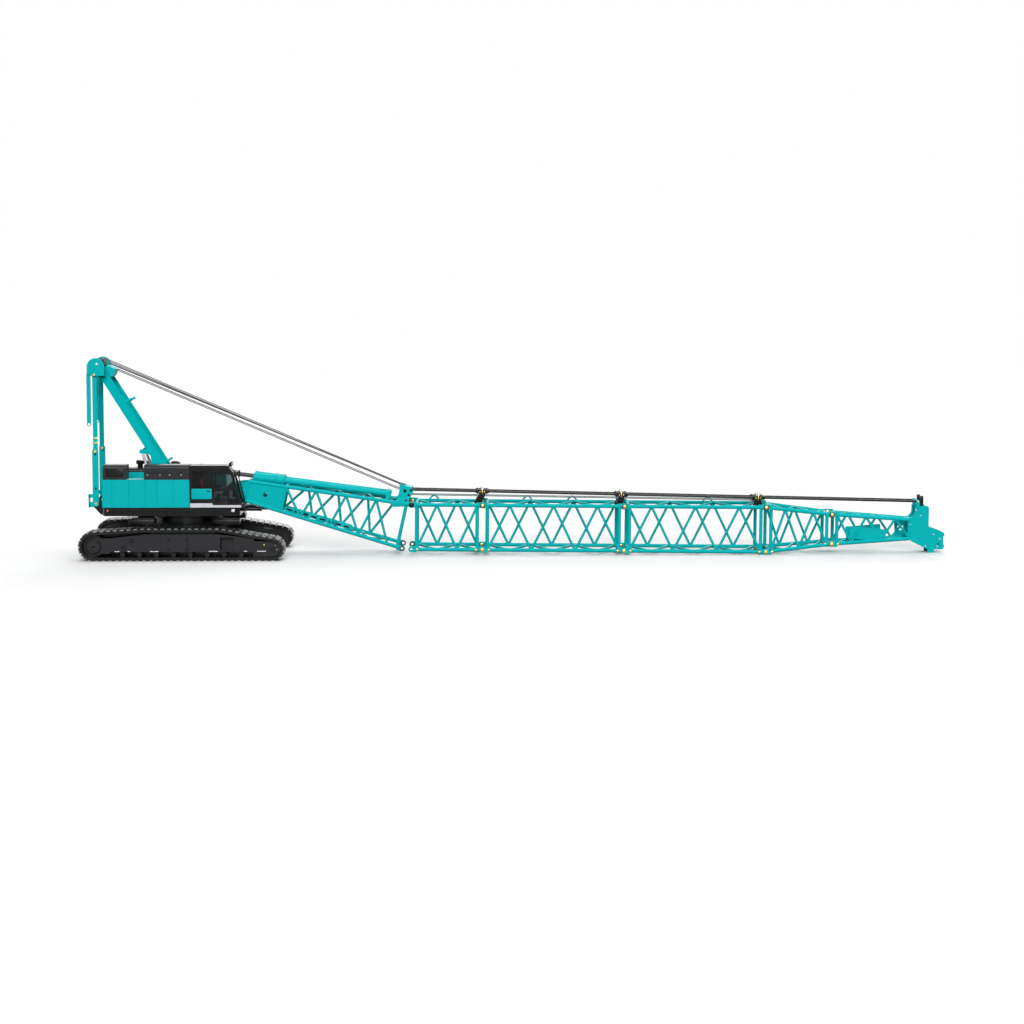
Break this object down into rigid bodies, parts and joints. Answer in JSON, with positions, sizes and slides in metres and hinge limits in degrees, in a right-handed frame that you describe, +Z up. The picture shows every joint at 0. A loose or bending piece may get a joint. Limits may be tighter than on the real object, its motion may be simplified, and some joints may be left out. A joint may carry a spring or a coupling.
{
  "type": "scale model crawler crane",
  "caption": "Die-cast display model of a crawler crane with a lattice boom laid on the ground, slewing upper works, luffing boom, gantry mast and rope rigging.",
  "frame": {"origin": "on the ground, on the slewing axis", "axes": "+X towards the boom tip, +Y to the side away from the cab, +Z up"},
  "size_m": [0.7413, 0.129, 0.1696],
  "materials": {
    "teal_paint": "gloss",
    "black_paint": "satin",
    "silver_paint": "satin",
    "glass": "gloss",
    "grey_plastic": "matte",
    "brass": "satin",
    "steel": "satin",
    "rope": "matte"
  },
  "bodies": {
    "lower": {"carbody": "black_paint", "slew_ring": "black_paint", "track_frame_right": "black_paint", "track_frame_left": "black_paint", "track_right": "black_paint", "track_left": "black_paint", "end_wheels": "black_paint", "track_rollers": "black_paint"},
    "upper": {"deck_frame": "black_paint", "house_right": "teal_paint", "house_left": "teal_paint", "hood_rear": "black_paint", "hood_front": "black_paint", "hood_left": "black_paint", "exhaust": "black_paint", "cab_shell": "black_paint", "cab_glass": "glass", "cab_seat": "grey_plastic", "cab_sill": "silver_paint", "machinery_frame": "black_paint", "gantry_mast": "teal_paint", "gantry_cylinders": "silver_paint", "gantry_head": "teal_paint", "link_upper": "teal_paint", "link_lower": "teal_paint", "link_pins": "brass", "boom_foot_pins": "brass"},
    "drum_front": {"drum_front": "steel"},
    "drum_rear": {"drum_rear": "steel"},
    "gantry_sheaves": {"gantry_sheaves": "steel"},
    "hanging_link_right": {"hanging_link_right": "teal_paint"},
    "hanging_link_left": {"hanging_link_left": "teal_paint"},
    "boom_base": {"boom_base": "teal_paint"},
    "backstop_tubes": {"backstop_tubes": "teal_paint"},
    "backstop_rods": {"backstop_rods": "black_paint"},
    "boom_outer": {"boom_insert_short": "teal_paint", "boom_insert_long_a": "teal_paint", "boom_insert_long_b": "teal_paint", "boom_taper": "teal_paint", "boom_head": "teal_paint", "boom_pins": "brass", "pendant_rests": "black_paint"},
    "head_sheaves": {"head_sheaves": "steel"},
    "pendants": {"pendants": "black_paint", "spreader": "teal_paint"},
    "hoist_ropes": {"hoist_ropes": "rope"}
  },
  "joints": [
    {"name": "slew", "type": "hinge", "parent": "lower", "child": "upper", "pos_m": [0, 0, 0.0354], "axis": [0, 0, 1], "continuous": true},
    {"name": "boom_luff", "type": "hinge", "parent": "upper", "child": "boom_base", "pos_m": [0.04, 0, 0.0576], "axis": [0, -1, 0], "range_deg": [0, 92], "deforming": ["hoist_ropes"]},
    {"name": "boom_knuckle", "type": "hinge", "parent": "boom_base", "child": "boom_outer", "pos_m": [0.19297, 0, 0.04363], "axis": [0, -1, 0], "range_deg": [-11.97, 0.1]},
    {"name": "pendant_swing", "type": "hinge", "parent": "boom_outer", "child": "pendants", "pos_m": [0.63099, 0, 0.04457], "axis": [0, -1, 0], "range_deg": [-11.24, 0.1]},
    {"name": "rope_swing", "type": "hinge", "parent": "upper", "child": "hoist_ropes", "pos_m": [-0.0745, 0, 0.1642], "axis": [0, -1, 0], "range_deg": [-0.1, 89.9]},
    {"name": "backstop_swing", "type": "hinge", "parent": "boom_base", "child": "backstop_tubes", "pos_m": [0.17293, 0, 0.05213], "axis": [0, -1, 0], "range_deg": [-10.79, 0.1]},
    {"name": "backstop_slide", "type": "slide", "parent": "backstop_tubes", "child": "backstop_rods", "axis": [0.9919, 0, -0.1273], "range_m": [-0.0002, 0.04532]},
    {"name": "drum_front_turn", "type": "hinge", "parent": "upper", "child": "drum_front", "pos_m": [0.012, 0, 0.0516], "axis": [0, 1, 0], "continuous": true},
    {"name": "drum_rear_turn", "type": "hinge", "parent": "upper", "child": "drum_rear", "pos_m": [-0.044, 0, 0.0516], "axis": [0, 1, 0], "continuous": true},
    {"name": "gantry_sheave_turn", "type": "hinge", "parent": "upper", "child": "gantry_sheaves", "pos_m": [-0.0745, 0, 0.1642], "axis": [0, 1, 0], "continuous": true},
    {"name": "head_sheave_turn", "type": "hinge", "parent": "boom_outer", "child": "head_sheaves", "pos_m": [0.6412, 0, 0.01277], "axis": [0, 1, 0], "continuous": true},
    {"name": "hanging_link_right_swing", "type": "hinge", "parent": "upper", "child": "hanging_link_right", "pos_m": [-0.0814, -0.02445, 0.156], "axis": [0, -1, 0], "range_deg": [-70, 70]},
    {"name": "hanging_link_left_swing", "type": "hinge", "parent": "upper", "child": "hanging_link_left", "pos_m": [-0.0814, 0.02445, 0.156], "axis": [0, -1, 0], "range_deg": [-70, 70]}
  ],
  "couplings": [
    {"joint": "boom_knuckle", "follows": "boom_luff", "ratio": -0.12901},
    {"joint": "pendant_swing", "follows": "boom_luff", "ratio": -0.12104},
    {"joint": "rope_swing", "follows": "boom_luff", "ratio": 0.97611},
    {"joint": "backstop_swing", "follows": "boom_luff", "ratio": -0.11621},
    {"joint": "backstop_slide", "follows": "boom_luff", "m_per_rad": 0.028101}
  ]
}
